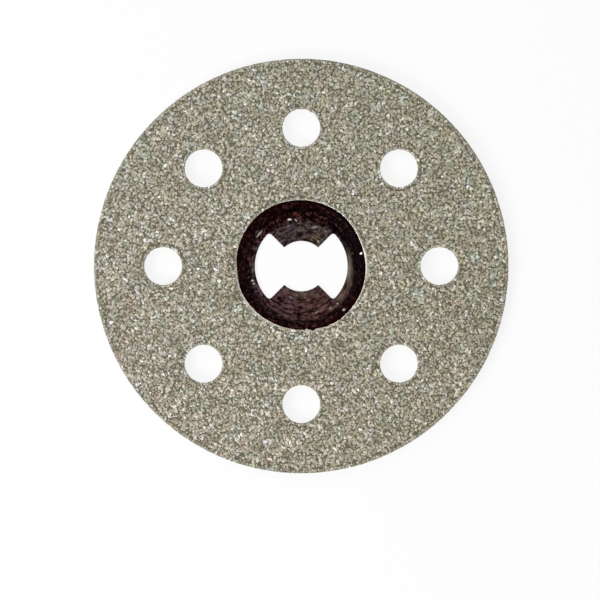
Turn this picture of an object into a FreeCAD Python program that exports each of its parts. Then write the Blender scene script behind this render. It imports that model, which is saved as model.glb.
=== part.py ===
import FreeCAD, Part
import Sketcher
import math
import os

# Diamond cut-off wheel for a quick-change mandrel: a stamped steel core with a pressed
# hub, and the diamond grit that is plated on its faces, its rim and its hole walls.
# It lies flat with the recess of the hub up. Z is the spin axis, the origin is the
# middle of the hub's underside, and the two wings of the drive opening lie along X.

# Driving sizes, in millimetres and degrees
SIZES = {
    "wheel_diameter": 38.1,  # over the coat on the rim
    "core_thickness": 0.3,
    "coat_thickness": 0.15,  # on each face, on the rim and on the hole walls
    "rim_break": 0.12,  # bevel of the coat at the rim
    "edge_break": 0.06,  # bevel of the coat at its lip and round the holes
    "hub_depth": 0.7,  # from the underside of the flange down to that of the hub
    "hub_wall_angle": 50.0,  # slope of the pressed wall
    "hub_bend_radius": 0.25,  # inside of both bends
    "floor_land": 0.575,  # flat floor left outside the wings
    "bare_land": 0.155,  # bare flat of the flange, from the bend to the coat
    "bore_diameter": 4.65,  # between the two locking tabs
    "wing_diameter": 8.55,  # over the outer arcs of the wings
    "wing_side_angle": 45.0,  # from the X axis to a side of a wing
    "wing_apex_offset": 0.16,  # where the two sides would meet, past the middle
    "wing_corner_radius": 0.3,
    "punch_round": 0.06,  # rounding that the punch leaves on the opening's front edge
    "hole_circle_diameter": 25.4,
    "hole_diameter": 3.46,  # finished, inside the coat
    "hole_count": 8,
}

# Sizes that both pieces take from the driving ones
RIM_RADIUS = "sizes.wheel_diameter / 2"
HOLE_PITCH_RADIUS = "sizes.hole_circle_diameter / 2"
UNCOATED_HOLE_DIAMETER = "sizes.hole_diameter + 2 * sizes.coat_thickness"

# The coat starts a little way out on the flat of the flange, past the hub's bend.
LIP_RADIUS = "blank_section.Constraints.flange_start + sizes.bare_land * 1 mm"

TOLERANCE = 0.001
FULL_TURN = 360
ORIGIN = -1
X_AXIS = -1
START, END, CENTRE = 1, 2, 3
UP = FreeCAD.Vector(0, 0, 1)


def make_sheet(doc):
    """Keep the driving sizes in a sheet, one row and one alias for each."""
    sheet = doc.addObject("Spreadsheet::Sheet", "sizes")
    for row, (name, size) in enumerate(SIZES.items(), start=1):
        sheet.set("A" + str(row), name)
        sheet.set("B" + str(row), str(size))
        sheet.setAlias("B" + str(row), name)
    doc.recompute()
    return sheet


def make_body(doc, label):
    body = doc.addObject("PartDesign::Body", label)
    body.Label = label
    return body


def origin_part(body, role):
    """Find one of the body's own origin planes or axes."""
    for feature in body.Origin.OriginFeatures:
        if feature.Role == role:
            return feature
    raise LookupError(role)


def make_sketch(body, name, role):
    sketch = body.newObject("Sketcher::SketchObject", name)
    sketch.AttachmentSupport = [(origin_part(body, role), "")]
    sketch.MapMode = "FlatFace"
    return sketch


def measure(item, formula):
    """Work out a formula on the sheet's sizes as a plain number."""
    result = item.evalExpression(formula)
    return float(getattr(result, "Value", result))


def bind(sketch, name, formula, kind, *elements):
    """Add a named dimension to a sketch and bind it to a formula on the sizes."""
    size = measure(sketch, formula)
    if kind == "Angle":
        size = math.radians(size)
    index = sketch.addConstraint(Sketcher.Constraint(kind, *elements, size))
    sketch.renameConstraint(index, name)
    sketch.setExpression("Constraints." + name, formula)


def relate(sketch, kind, *elements):
    sketch.addConstraint(Sketcher.Constraint(kind, *elements))


def line(sketch, first, second):
    segment = Part.LineSegment(FreeCAD.Vector(*first, 0), FreeCAD.Vector(*second, 0))
    return sketch.addGeometry(segment)


def arc(sketch, centre, radius, first_angle, second_angle):
    circle = Part.Circle(FreeCAD.Vector(*centre, 0), UP, radius)
    return sketch.addGeometry(Part.ArcOfCircle(circle, first_angle, second_angle))


def along(centre, radius, angle):
    """Give the point at this radius and angle from a centre."""
    return (centre[0] + radius * math.cos(angle), centre[1] + radius * math.sin(angle))


def revolve(body, name, sketch):
    turned = body.newObject("PartDesign::Revolution", name)
    turned.Profile = sketch
    turned.ReferenceAxis = (origin_part(body, "Z_Axis"), [""])
    turned.Angle = FULL_TURN
    return turned


def pad(body, name, sketch, length):
    raised = body.newObject("PartDesign::Pad", name)
    raised.Profile = sketch
    raised.setExpression("Length", length)
    return raised


def cut_through(body, name, sketch):
    """Cut the sketch right through the body both ways, and see that it removes metal."""
    before = body.Tip.Shape.Volume
    pocket = body.newObject("PartDesign::Pocket", name)
    pocket.Profile = sketch
    pocket.SideType = "Symmetric"
    pocket.Type = "ThroughAll"
    body.Document.recompute()
    if pocket.Shape.Volume > before - TOLERANCE:
        raise RuntimeError(name + " cuts nothing")
    return pocket


def mirror(body, name, features, role):
    """Mirror features over one of the body's origin planes."""
    mirrored = body.newObject("PartDesign::Mirrored", name)
    mirrored.Originals = features
    mirrored.MirrorPlane = (origin_part(body, role), [""])
    body.Tip = mirrored
    body.Document.recompute()
    return mirrored


def repeat_round(body, name, features, count):
    """Repeat features round the spin axis."""
    pattern = body.newObject("PartDesign::PolarPattern", name)
    pattern.Originals = features
    pattern.Axis = (origin_part(body, "Z_Axis"), [""])
    pattern.Angle = FULL_TURN
    pattern.setExpression("Occurrences", count)
    body.Tip = pattern
    body.Document.recompute()
    return pattern


def find_edges(shape, wanted):
    """Name the edges of a shape that the test picks out."""
    edges = enumerate(shape.Edges, start=1)
    return ["Edge" + str(number) for number, edge in edges if wanted(edge)]


def round_edges(body, name, wanted, radius):
    base = body.Tip
    fillet = body.newObject("PartDesign::Fillet", name)
    fillet.Base = (base, find_edges(base.Shape, wanted))
    fillet.setExpression("Radius", radius)
    body.Document.recompute()
    return fillet


def break_edges(body, name, wanted, size):
    base = body.Tip
    chamfer = body.newObject("PartDesign::Chamfer", name)
    chamfer.Base = (base, find_edges(base.Shape, wanted))
    chamfer.setExpression("Size", size)
    body.Document.recompute()
    return chamfer


def reach(edge):
    """Give the largest distance of an edge's ends from the spin axis."""
    return max(math.hypot(vertex.X, vertex.Y) for vertex in edge.Vertexes)


def level(edge):
    """Give the height of a flat edge, or nothing for one that rises."""
    box = edge.BoundBox
    if box.ZLength > TOLERANCE:
        return None
    return box.ZMin


def draw_blank_section(body, sheet):
    """Draw the pressed sheet in section: hub floor, sloping wall and flange."""
    sketch = make_sketch(body, "blank_section", "XZ_Plane")
    thickness = sheet.core_thickness
    depth = sheet.hub_depth
    bend = sheet.hub_bend_radius
    slope = math.radians(sheet.hub_wall_angle)
    floor_radius = sheet.wing_diameter / 2 + sheet.floor_land
    core_radius = sheet.wheel_diameter / 2 - sheet.coat_thickness

    # The wall is tangent to both bends, so its slope sets how far apart they stand.
    rise = depth - thickness - 2 * bend
    run = (2 * bend + thickness + rise * math.cos(slope)) / math.sin(slope)
    low_centre = (floor_radius, thickness + bend)
    high_centre = (floor_radius + run, depth - bend)
    down = math.radians(270)
    up = math.radians(90)

    low_under = arc(sketch, low_centre, bend + thickness, down, down + slope)
    low_top = arc(sketch, low_centre, bend, down, down + slope)
    high_under = arc(sketch, high_centre, bend, up, up + slope)
    high_top = arc(sketch, high_centre, bend + thickness, up, up + slope)
    floor_under = line(sketch, (0, 0), (floor_radius, 0))
    wall_under = line(
        sketch,
        along(low_centre, bend + thickness, down + slope),
        along(high_centre, bend, up + slope),
    )
    flange_under = line(sketch, (high_centre[0], depth), (core_radius, depth))
    rim = line(sketch, (core_radius, depth), (core_radius, depth + thickness))
    flange_top = line(
        sketch,
        (core_radius, depth + thickness),
        (high_centre[0], depth + thickness),
    )
    wall_top = line(
        sketch,
        along(high_centre, bend + thickness, up + slope),
        along(low_centre, bend, down + slope),
    )
    floor_top = line(sketch, (floor_radius, thickness), (0, thickness))
    middle = line(sketch, (0, thickness), (0, 0))

    relate(sketch, "Coincident", floor_under, START, ORIGIN, START)
    relate(sketch, "Coincident", middle, END, ORIGIN, START)
    relate(sketch, "Coincident", middle, START, floor_top, END)
    relate(sketch, "Coincident", flange_under, END, rim, START)
    relate(sketch, "Coincident", rim, END, flange_top, START)
    relate(sketch, "Tangent", floor_under, END, low_under, START)
    relate(sketch, "Tangent", low_under, END, wall_under, START)
    relate(sketch, "Tangent", wall_under, END, high_under, END)
    relate(sketch, "Tangent", high_under, START, flange_under, START)
    relate(sketch, "Tangent", flange_top, END, high_top, START)
    relate(sketch, "Tangent", high_top, END, wall_top, START)
    relate(sketch, "Tangent", wall_top, END, low_top, END)
    relate(sketch, "Tangent", low_top, START, floor_top, START)
    for level_line in (floor_under, flange_under, flange_top, floor_top):
        relate(sketch, "Horizontal", level_line)
    for upright_line in (rim, middle):
        relate(sketch, "Vertical", upright_line)
    relate(sketch, "Coincident", low_under, CENTRE, low_top, CENTRE)
    relate(sketch, "Coincident", high_under, CENTRE, high_top, CENTRE)
    relate(sketch, "Equal", rim, middle)
    relate(sketch, "Equal", low_top, high_under)

    bind(sketch, "thickness", "sizes.core_thickness", "DistanceY", rim, START, rim, END)
    bind(sketch, "bend_radius", "sizes.hub_bend_radius", "Radius", low_top)
    bind(sketch, "wall_slope", "sizes.hub_wall_angle", "Angle", wall_under)
    bind(
        sketch, "floor_radius", "sizes.wing_diameter / 2 + sizes.floor_land",
        "DistanceX", ORIGIN, START, floor_under, END,
    )
    bind(
        sketch, "depth", "sizes.hub_depth",
        "DistanceY", ORIGIN, START, flange_under, START,
    )
    bind(
        sketch, "core_radius", RIM_RADIUS + " - sizes.coat_thickness",
        "DistanceX", ORIGIN, START, flange_under, END,
    )

    # Where the flange becomes flat is measured here, because the coat starts from it.
    flange_start = sketch.addConstraint(Sketcher.Constraint(
        "DistanceX", ORIGIN, START, flange_under, START, high_centre[0],
    ))
    sketch.setDriving(flange_start, False)
    sketch.renameConstraint(flange_start, "flange_start")
    return sketch


def draw_circle(body, name, offset, diameter):
    """Draw a circle on the X axis, at a distance from the middle."""
    sketch = make_sketch(body, name, "XY_Plane")
    centre = FreeCAD.Vector(measure(sketch, offset), 0, 0)
    radius = measure(sketch, diameter) / 2
    circle = sketch.addGeometry(Part.Circle(centre, UP, radius))
    relate(sketch, "PointOnObject", circle, CENTRE, X_AXIS)
    bind(sketch, "offset", offset, "DistanceX", ORIGIN, START, circle, CENTRE)
    bind(sketch, "diameter", diameter, "Diameter", circle)
    return sketch


def draw_bore(body):
    """Draw the round middle of the drive opening, between the two locking tabs."""
    sketch = make_sketch(body, "bore_outline", "XY_Plane")
    radius = measure(sketch, "sizes.bore_diameter / 2")
    circle = sketch.addGeometry(Part.Circle(FreeCAD.Vector(0, 0, 0), UP, radius))
    relate(sketch, "Coincident", circle, CENTRE, ORIGIN, START)
    bind(sketch, "diameter", "sizes.bore_diameter", "Diameter", circle)
    return sketch


def draw_wing(body, sheet):
    """Draw one wing of the drive opening: a sector with rounded outer corners."""
    sketch = make_sketch(body, "wing_outline", "XY_Plane")
    outer_radius = sheet.wing_diameter / 2
    corner = sheet.wing_corner_radius
    side = math.radians(sheet.wing_side_angle)
    apex = (-sheet.wing_apex_offset, 0)

    # A corner's centre lies one corner radius inside both the side and the outer arc.
    inset = along(apex, corner, side - math.radians(90))
    forward = inset[0] * math.cos(side) + inset[1] * math.sin(side)
    sideways = inset[0] * math.sin(side) - inset[1] * math.cos(side)
    side_length = math.sqrt((outer_radius - corner) ** 2 - sideways ** 2) - forward
    corner_centre = along(inset, side_length, side)
    side_end = along(apex, side_length, side)
    outward = math.atan2(corner_centre[1], corner_centre[0])
    square = side + math.radians(90)

    upper_side = line(sketch, apex, side_end)
    lower_side = line(sketch, apex, (side_end[0], -side_end[1]))
    upper_corner = arc(sketch, corner_centre, corner, outward, square)
    lower_corner = arc(
        sketch, (corner_centre[0], -corner_centre[1]), corner, -square, -outward,
    )
    outer = arc(sketch, (0, 0), outer_radius, -outward, outward)

    relate(sketch, "Coincident", upper_side, START, lower_side, START)
    relate(sketch, "PointOnObject", upper_side, START, X_AXIS)
    relate(sketch, "Tangent", upper_side, END, upper_corner, END)
    relate(sketch, "Tangent", upper_corner, START, outer, END)
    relate(sketch, "Tangent", outer, START, lower_corner, END)
    relate(sketch, "Tangent", lower_corner, START, lower_side, END)
    relate(sketch, "Coincident", outer, CENTRE, ORIGIN, START)
    relate(sketch, "Symmetric", upper_side, END, lower_side, END, X_AXIS)
    bind(sketch, "outer_radius", "sizes.wing_diameter / 2", "Radius", outer)
    bind(sketch, "corner_radius", "sizes.wing_corner_radius", "Radius", upper_corner)
    bind(sketch, "side_angle", "sizes.wing_side_angle", "Angle", upper_side)
    bind(
        sketch, "apex_offset", "sizes.wing_apex_offset",
        "DistanceX", upper_side, START, ORIGIN, START,
    )
    return sketch


def build_steel_core(doc, sheet):
    """Press and punch the steel blank: dished hub, drive opening and ring of holes."""
    body = make_body(doc, "steel_core")
    section = draw_blank_section(body, sheet)
    revolve(body, "pressed_blank", section)
    doc.recompute()

    cut_through(body, "bore", draw_bore(body))
    wing = cut_through(body, "wing", draw_wing(body, sheet))
    mirror(body, "wings", [wing], "YZ_Plane")

    # The punch enters from the recess and draws the front edges of the opening down.
    wing_reach = sheet.wing_diameter / 2 + TOLERANCE

    def is_punched_edge(edge):
        height = level(edge)
        if height is None or abs(height - sheet.core_thickness) > TOLERANCE:
            return False
        return reach(edge) < wing_reach

    round_edges(body, "punched_edge", is_punched_edge, "sizes.punch_round")

    # The blank's holes are larger than the finished ones by the coat on their walls.
    outline = draw_circle(
        body, "core_hole_outline", HOLE_PITCH_RADIUS, UNCOATED_HOLE_DIAMETER,
    )
    hole = cut_through(body, "core_hole", outline)
    repeat_round(body, "core_holes", [hole], "sizes.hole_count")
    return body


def draw_coat_section(body):
    """Draw the coat in section: one layer that folds round the rim of the flange."""
    sketch = make_sketch(body, "coat_section", "XZ_Plane")
    lip = measure(sketch, LIP_RADIUS)
    flange = measure(sketch, "sizes.core_thickness")
    coat = measure(sketch, "sizes.coat_thickness")
    outer = measure(sketch, RIM_RADIUS)
    corners = (
        (lip, flange),
        (lip, flange + coat),
        (outer, flange + coat),
        (outer, -coat),
        (lip, -coat),
        (lip, 0),
        (outer - coat, 0),
        (outer - coat, flange),
    )
    followers = corners[1:] + corners[:1]
    sides = [line(sketch, first, second) for first, second in zip(corners, followers)]
    upper_lip, front, rim, back, lower_lip, under, inner_rim, over = sides
    for side, follower in zip(sides, sides[1:] + sides[:1]):
        relate(sketch, "Coincident", side, END, follower, START)
    for level_line in (front, back, under, over):
        relate(sketch, "Horizontal", level_line)
    for upright_line in (upper_lip, rim, lower_lip, inner_rim):
        relate(sketch, "Vertical", upright_line)
    relate(sketch, "Vertical", upper_lip, START, lower_lip, START)
    relate(sketch, "PointOnObject", under, START, X_AXIS)

    coat_formula = "sizes.coat_thickness"
    bind(sketch, "lip_radius", LIP_RADIUS, "DistanceX", ORIGIN, START, under, START)
    bind(sketch, "outer_radius", RIM_RADIUS, "DistanceX", ORIGIN, START, rim, START)
    bind(
        sketch, "flange_gap", "sizes.core_thickness",
        "DistanceY", inner_rim, START, inner_rim, END,
    )
    bind(
        sketch, "front_coat", coat_formula,
        "DistanceY", upper_lip, START, upper_lip, END,
    )
    bind(
        sketch, "back_coat", coat_formula,
        "DistanceY", lower_lip, START, lower_lip, END,
    )
    bind(
        sketch, "rim_coat", coat_formula,
        "DistanceX", inner_rim, START, rim, START,
    )
    return sketch


def build_diamond_coat(doc, sheet):
    """Plate the flange: both faces, the rim and the walls of the holes, in one layer."""
    body = make_body(doc, "diamond_coat")
    body.setExpression("Placement.Base.z", "sizes.hub_depth")
    revolve(body, "coat_wrap", draw_coat_section(body))
    doc.recompute()

    rim_radius = measure(body, RIM_RADIUS)

    def is_rim_corner(edge):
        return level(edge) is not None and reach(edge) > rim_radius - TOLERANCE

    break_edges(body, "rim_corners", is_rim_corner, "sizes.rim_break")

    # A plug fills each hole of the core, and the finished hole is cut through it.
    plug_outline = draw_circle(
        body, "plug_outline", HOLE_PITCH_RADIUS, UNCOATED_HOLE_DIAMETER,
    )
    plug = pad(body, "hole_plug", plug_outline, "sizes.core_thickness")
    doc.recompute()
    hole_outline = draw_circle(
        body, "coat_hole_outline", HOLE_PITCH_RADIUS, "sizes.hole_diameter",
    )
    hole = cut_through(body, "coat_hole", hole_outline)
    repeat_round(body, "lined_holes", [plug, hole], "sizes.hole_count")

    # The layer thins out at its edges, at its lip beside the hub and round every hole.
    faces = (sheet.core_thickness + sheet.coat_thickness, -sheet.coat_thickness)
    inner_reach = rim_radius - sheet.rim_break - TOLERANCE

    def is_open_edge(edge):
        height = level(edge)
        if height is None or reach(edge) > inner_reach:
            return False
        return any(abs(height - face) < TOLERANCE for face in faces)

    break_edges(body, "thin_edges", is_open_edge, "sizes.edge_break")
    return body


def check_document(doc, bodies):
    """Stop unless every object has been worked out and each body is one good solid."""
    for item in doc.Objects:
        if "Invalid" in item.State or "Error" in item.State:
            raise RuntimeError(item.Label + " failed: " + str(item.State))
    for body in bodies:
        if body.Shape.isNull() or not body.Shape.isValid():
            raise RuntimeError(body.Label + " has no valid shape")
        if len(body.Shape.Solids) != 1:
            raise RuntimeError(body.Label + " is not one solid")


def main():
    doc = FreeCAD.newDocument("diamond_cut_off_wheel")
    sheet = make_sheet(doc)
    bodies = [build_steel_core(doc, sheet), build_diamond_coat(doc, sheet)]
    doc.recompute()
    check_document(doc, bodies)
    os.makedirs("parts", exist_ok=True)
    for body in bodies:
        body.Shape.exportStep("parts/" + body.Label + ".step")
        print(body.Label, "volume", round(body.Shape.Volume, 3), "mm3")


main()
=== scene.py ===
"""Looks of the diamond cut-off wheel: crystals in plated nickel on a burnished pressed blank.

The sizes are in millimetres, as on a drawing. A mesh, a lamp or the camera turns them into
Blender's metres when it is made. Turns round the wheel are in degrees from +X towards +Y.
"""

import logging
import math
from collections.abc import Callable
from dataclasses import dataclass, field
from enum import Enum
from typing import Any

import bpy
import numpy as np
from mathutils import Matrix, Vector
from mathutils.geometry import delaunay_2d_cdt


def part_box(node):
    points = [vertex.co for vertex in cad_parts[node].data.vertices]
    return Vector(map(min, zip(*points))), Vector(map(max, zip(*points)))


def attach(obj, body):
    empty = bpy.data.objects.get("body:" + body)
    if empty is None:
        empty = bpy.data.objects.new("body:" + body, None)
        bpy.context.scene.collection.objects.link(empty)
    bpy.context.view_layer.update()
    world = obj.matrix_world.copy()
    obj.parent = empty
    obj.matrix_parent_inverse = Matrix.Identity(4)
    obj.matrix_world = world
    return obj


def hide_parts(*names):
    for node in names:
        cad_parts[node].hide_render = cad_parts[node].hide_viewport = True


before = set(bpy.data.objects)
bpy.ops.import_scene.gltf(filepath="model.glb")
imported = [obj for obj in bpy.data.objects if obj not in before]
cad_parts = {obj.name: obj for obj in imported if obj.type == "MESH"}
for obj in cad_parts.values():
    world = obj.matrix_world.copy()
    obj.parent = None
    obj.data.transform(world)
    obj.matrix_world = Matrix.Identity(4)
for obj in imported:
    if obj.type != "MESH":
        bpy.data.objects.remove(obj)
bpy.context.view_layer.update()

LOG = logging.getLogger("wheel")
MM = 0.001
TAU = 2.0 * math.pi
SAME_POINT = 1e-7
# A crystal's six tips before it is stretched, and the eight faces between them.
TIPS = np.array([[1, 0, 0], [-1, 0, 0], [0, 1, 0], [0, -1, 0], [0, 0, 1], [0, 0, -1]])
TIP_FACES = np.array(
    [[0, 2, 4], [2, 1, 4], [1, 3, 4], [3, 0, 4], [2, 0, 5], [1, 2, 5], [3, 1, 5], [0, 3, 5]]
)
Colour = tuple[float, float, float, float]
Span = tuple[float, float]


class Side(Enum):
    """The two faces of the wheel, each with the sign of its outward Z."""

    FRONT = 1
    BACK = -1


class Ray(Enum):
    """The kinds of ray that see the white surroundings, by their socket on Light Path."""

    CAMERA = "Is Camera Ray"
    GLOSSY = "Is Glossy Ray"
    TRANSMISSION = "Is Transmission Ray"


@dataclass(frozen=True)
class Wire:
    """An output socket on which Python's arithmetic adds Math nodes."""

    graph: "Graph"
    socket: bpy.types.NodeSocket

    def maths(self, operation: str, *values: "Wire | float") -> "Wire":
        """A Math node on the given values."""
        return self.graph.wire("ShaderNodeMath", {"operation": operation}, dict(enumerate(values)))

    def __add__(self, other: "Wire | float") -> "Wire":
        """The sum."""
        return self.maths("ADD", self, other)

    def __radd__(self, other: float) -> "Wire":
        """The sum, with the number first."""
        return self.maths("ADD", other, self)

    def __sub__(self, other: "Wire | float") -> "Wire":
        """The difference."""
        return self.maths("SUBTRACT", self, other)

    def __rsub__(self, other: float) -> "Wire":
        """The difference, with the number first."""
        return self.maths("SUBTRACT", other, self)

    def __mul__(self, other: "Wire | float") -> "Wire":
        """The product."""
        return self.maths("MULTIPLY", self, other)

    def __rmul__(self, other: float) -> "Wire":
        """The product, with the number first."""
        return self.maths("MULTIPLY", other, self)

    def __truediv__(self, other: "Wire | float") -> "Wire":
        """The quotient."""
        return self.maths("DIVIDE", self, other)

    def __pow__(self, power: float) -> "Wire":
        """The power."""
        return self.maths("POWER", self, power)

    def most(self, other: "Wire | float") -> "Wire":
        """The larger of the two."""
        return self.maths("MAXIMUM", self, other)

    def step(self, low: "Wire | float", high: "Wire | float") -> "Wire":
        """Runs smoothly from 0 at low to 1 at high.

        Args:
            low: The value that gives 0. It may be the larger of the two.
            high: The value that gives 1.

        Returns:
            The share, between 0 and 1.
        """
        share = (self - low) / (high - low)
        settings = {"interpolation_type": "SMOOTHSTEP"}
        return self.graph.wire("ShaderNodeMapRange", settings, {"Value": share})


class Graph:
    """The nodes of one material or world, all of them added by one method."""

    def __init__(self, tree: bpy.types.NodeTree) -> None:
        """Empties the tree.

        Args:
            tree: The node tree of a material or a world.
        """
        tree.nodes.clear()
        self.tree = tree

    def add(
        self,
        kind: str,
        settings: dict[str, Any] | None = None,
        inputs: dict[int | str, Any] | None = None,
    ) -> bpy.types.Node:
        """Adds a node.

        Args:
            kind: The node's type.
            settings: Its properties, which are set first.
            inputs: A value or a Wire for each of its sockets, by name or by number.

        Returns:
            The node.
        """
        node = self.tree.nodes.new(kind)
        for name, value in (settings or {}).items():
            setattr(node, name, value)
        for key, value in (inputs or {}).items():
            if isinstance(value, Wire):
                self.tree.links.new(value.socket, node.inputs[key])
            else:
                node.inputs[key].default_value = value
        return node

    def wire(
        self,
        kind: str,
        settings: dict[str, Any] | None = None,
        inputs: dict[int | str, Any] | None = None,
        output: int | str = 0,
    ) -> Wire:
        """Adds a node and returns one of its outputs.

        Args:
            kind: The node's type.
            settings: Its properties.
            inputs: Its sockets' values or Wires.
            output: The output's name or number.

        Returns:
            The output, ready for arithmetic.
        """
        return Wire(self, self.add(kind, settings, inputs).outputs[output])

    def blend(self, share: Wire | float, first: Any, second: Any, way: str = "MIX") -> Wire:
        """Mixes two colours.

        Args:
            share: How much of the second is taken.
            first: A colour or a Wire that carries one.
            second: The other colour.
            way: The Mix node's blend type.

        Returns:
            The mixed colour.
        """
        settings = {"data_type": "RGBA", "blend_type": way}
        return self.wire("ShaderNodeMix", settings, {0: share, 6: first, 7: second}, output=2)

    def millimetres(self) -> Wire:
        """The place on the object in millimetres."""
        inputs = {0: self.wire("ShaderNodeTexCoord", output="Object"), "Scale": 1.0 / MM}
        return self.wire("ShaderNodeVectorMath", {"operation": "SCALE"}, inputs)

    def split(self, vector: Wire) -> tuple[Wire, Wire, Wire]:
        """The three numbers of a vector."""
        node = self.add("ShaderNodeSeparateXYZ", inputs={0: vector})
        return Wire(self, node.outputs[0]), Wire(self, node.outputs[1]), Wire(self, node.outputs[2])

    def join(self, x: Wire | float, y: Wire | float, z: Wire | float = 0.0) -> Wire:
        """A vector of three numbers."""
        return self.wire("ShaderNodeCombineXYZ", inputs={0: x, 1: y, 2: z})

    def noise(self, place: Wire, scale: float, detail: float = 2.0, rough: float = 0.5) -> Wire:
        """Soft noise about one half.

        Args:
            place: Where it is read.
            scale: Waves to a unit of place.
            detail: How many finer layers are added.
            rough: How strong those layers are.

        Returns:
            A number that stays mostly between 0.3 and 0.7.
        """
        inputs = {"Vector": place, "Scale": scale, "Detail": detail, "Roughness": rough}
        return self.wire("ShaderNodeTexNoise", {"noise_dimensions": "3D"}, inputs)


@dataclass(frozen=True)
class Finish:
    """What every finish has: a name, and constants set on the shader's own sockets."""

    name: str
    constants: dict[str, float] = field(default_factory=dict)

    def varying(self, graph: Graph) -> dict[str, Any]:
        """The inputs of the shader that change over the surface."""
        return {}

    def material(self) -> bpy.types.Material:
        """Makes the material.

        Returns:
            A material with one Principled BSDF.
        """
        made = bpy.data.materials.new(self.name)
        made.use_nodes = True
        graph = Graph(made.node_tree)
        inputs = {**self.constants, **self.varying(graph)}
        surface = graph.wire("ShaderNodeBsdfPrincipled", inputs=inputs)
        graph.add("ShaderNodeOutputMaterial", inputs={"Surface": surface})
        return made


@dataclass(frozen=True)
class Mark:
    """A nick or scratch on the burnished steel, as an ellipse in millimetres."""

    x: float
    y: float
    half_length: float
    half_width: float
    turn: float
    strength: float
    core: float = 0.35
    colour: Colour = (0.62, 0.57, 0.53, 1.0)


@dataclass(frozen=True)
class Stain(Mark):
    """A broad brown stain that fades from its middle."""

    core: float = -0.2
    colour: Colour = (0.50, 0.42, 0.33, 1.0)


@dataclass(frozen=True)
class Spot:
    """What the steel's tones depend on: the place in millimetres, and the noises there."""

    x: Wire
    y: Wire
    radius: Wire
    mottle: Wire
    speckle: Wire
    turning: Wire
    patches: Wire


@dataclass(frozen=True)
class Cover:
    """How a tone spreads over the steel: each noise's weight, and the sums that start and end it."""

    start: float
    full: float
    mottle: float
    speckle: float
    turning: float = 0.0

    def share(self, spot: Spot) -> Wire:
        """How much of the tone shows, from 0 to 1."""
        total = spot.mottle * self.mottle + spot.turning * self.turning
        return (total + spot.speckle * self.speckle).step(self.start, self.full)


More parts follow.
